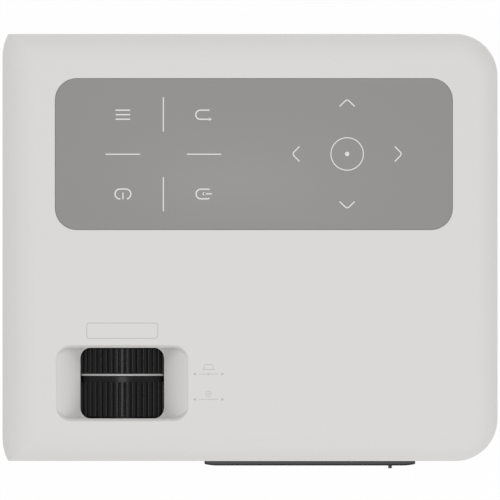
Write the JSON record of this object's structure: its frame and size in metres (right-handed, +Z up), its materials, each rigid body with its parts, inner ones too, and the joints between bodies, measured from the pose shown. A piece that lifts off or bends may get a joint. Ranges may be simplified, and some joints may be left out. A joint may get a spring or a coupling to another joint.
{
  "type": "disc projector",
  "caption": "Compact LCD projector with a tray-loading disc drive in its front, ribbed focus and keystone rings under a scooped window, and a flush touch panel on top.",
  "frame": {"origin": "centre of the whole footprint, on the surface that the feet stand on", "axes": "+Z up, -Y is the front with the lens and the disc tray, +X is the disc tray's side"},
  "size_m": [0.3, 0.2637, 0.104],
  "materials": {
    "shell_white": "fine moulded texture, warm pale grey",
    "grille_grey": "moulded, grey",
    "panel_grey": "smooth satin touch surface",
    "ring_black": "moulded, ribbed",
    "trim_silver": "satin",
    "black_plastic": "moulded",
    "bezel_black": "glossy",
    "optical_glass": "coated lens",
    "acrylic": "clear sheet",
    "dark_window": "deep red, infrared-clear",
    "liquid_crystal": "dark glass",
    "sheet_steel": "zinc-plated",
    "cast_aluminium": "plain",
    "copper": "plain",
    "circuit_green": "solder resist",
    "component_black": "moulded",
    "reflector_silver": "mirror coated",
    "rod_steel": "ground",
    "cone_paper": "pressed paper",
    "brass": "turned",
    "rubber": "matt",
    "screw_steel": "black-zinc plated",
    "tray_plastic": "moulded"
  },
  "bodies": {
    "casing": {"top_cover": "shell_white", "bottom_housing": "shell_white", "side_grilles": "grille_grey", "lens_port": "black_plastic", "ir_window": "dark_window", "rear_plate": "black_plastic", "control_panel": "panel_grey", "touch_board": "circuit_green", "ring_trim": "trim_silver", "lens_tube": "black_plastic", "engine_housing": "black_plastic", "engine_lid": "sheet_steel", "fresnel_front": "acrylic", "fresnel_rear": "acrylic", "polariser_glass": "acrylic", "reflector": "reflector_silver", "lamp_module": "copper", "lamp_heatsink": "cast_aluminium", "lamp_fan_frame": "black_plastic", "panel_fan_frame": "black_plastic", "drive_chassis": "sheet_steel", "drive_lid": "sheet_steel", "drive_bracket": "sheet_steel", "drive_board": "circuit_green", "main_board": "circuit_green", "power_board": "circuit_green", "hdmi_sockets": "sheet_steel", "usb_sockets": "sheet_steel", "audio_jacks": "component_black", "power_inlet": "component_black", "processor_heatsink": "cast_aluminium", "board_components": "component_black", "speaker_frames": "component_black", "speaker_cones": "cone_paper", "rubber_feet": "rubber", "threaded_inserts": "brass", "case_screws": "screw_steel", "inner_screws": "screw_steel"},
    "disc_carrier": {"disc_tray": "tray_plastic", "tray_bezel": "bezel_black", "mechanism_plate": "sheet_steel", "guide_rods": "rod_steel", "sled_motor": "rod_steel", "spindle_motor": "rod_steel"},
    "slide_rails": {"tray_rails": "tray_plastic"},
    "eject_key": {"eject_button": "bezel_black"},
    "turntable": {"spindle_hub": "tray_plastic"},
    "pickup": {"pickup_sled": "component_black"},
    "sled_screw": {"lead_screw": "rod_steel"},
    "focus_control": {"focus_ring": "ring_black"},
    "keystone_control": {"keystone_ring": "ring_black"},
    "barrel": {"lens_barrel": "black_plastic", "front_lens": "optical_glass", "rear_lens": "optical_glass"},
    "picture_panel": {"lcd_frame": "black_plastic", "lcd_panel": "liquid_crystal"},
    "lamp_fan": {"lamp_fan_rotor": "black_plastic"},
    "panel_fan": {"panel_fan_rotor": "black_plastic"},
    "foot_base": {"foot_pad": "rubber"},
    "foot_thread": {"foot_screw": "black_plastic"}
  },
  "joints": [
    {"name": "tray_slide", "type": "slide", "parent": "casing", "child": "disc_carrier", "axis": [0, -1, 0], "range_m": [0, 0.122]},
    {"name": "rail_slide", "type": "slide", "parent": "casing", "child": "slide_rails", "axis": [0, -1, 0], "range_m": [0, 0.0615]},
    {"name": "eject_press", "type": "slide", "parent": "disc_carrier", "child": "eject_key", "axis": [0, 1, 0], "range_m": [0, 0.0006], "stiffness_N_per_m": 600},
    {"name": "turntable_spin", "type": "hinge", "parent": "disc_carrier", "child": "turntable", "pos_m": [0.03635, -0.06375, 0.068], "axis": [0, 0, 1], "continuous": true},
    {"name": "sled_screw_turn", "type": "hinge", "parent": "disc_carrier", "child": "sled_screw", "pos_m": [0.05935, -0.10195, 0.0644], "axis": [0, 1, 0], "range_deg": [0, 4202]},
    {"name": "pickup_slide", "type": "slide", "parent": "disc_carrier", "child": "pickup", "axis": [0, -1, 0], "range_m": [0, 0.0245]},
    {"name": "focus_turn", "type": "hinge", "parent": "casing", "child": "focus_control", "pos_m": [-0.0774, -0.08695, 0.0625], "axis": [0, 1, 0], "range_deg": [0, 120]},
    {"name": "barrel_slide", "type": "slide", "parent": "casing", "child": "barrel", "axis": [0, -1, 0], "range_m": [0, 0.00801]},
    {"name": "keystone_turn", "type": "hinge", "parent": "casing", "child": "keystone_control", "pos_m": [-0.0774, -0.06695, 0.0625], "axis": [0, 1, 0], "range_deg": [-35, 35]},
    {"name": "panel_tilt", "type": "hinge", "parent": "casing", "child": "picture_panel", "pos_m": [-0.0774, 0.00105, 0.0625], "axis": [1, 0, 0], "range_deg": [-6.05, 6.05]},
    {"name": "lamp_fan_spin", "type": "hinge", "parent": "casing", "child": "lamp_fan", "pos_m": [-0.0774, 0.11505, 0.055], "axis": [0, 1, 0], "continuous": true},
    {"name": "panel_fan_spin", "type": "hinge", "parent": "casing", "child": "panel_fan", "pos_m": [-0.139, 0.00105, 0.066], "axis": [1, 0, 0], "continuous": true},
    {"name": "foot_slide", "type": "slide", "parent": "casing", "child": "foot_base", "axis": [0, 0, -1], "range_m": [0, 0.012]},
    {"name": "foot_turn", "type": "hinge", "parent": "foot_base", "child": "foot_thread", "pos_m": [0, -0.10295, 0.01], "axis": [0, 0, 1], "range_deg": [0, 3458]}
  ],
  "couplings": [
    {"joint": "rail_slide", "follows": "tray_slide", "ratio": 0.5},
    {"joint": "sled_screw_turn", "follows": "pickup_slide", "rad_per_m": 2992},
    {"joint": "barrel_slide", "follows": "focus_turn", "m_per_rad": 0.0038197},
    {"joint": "panel_tilt", "follows": "keystone_turn", "ratio": 0.17143},
    {"joint": "foot_turn", "follows": "foot_slide", "rad_per_m": 5026.5}
  ]
}
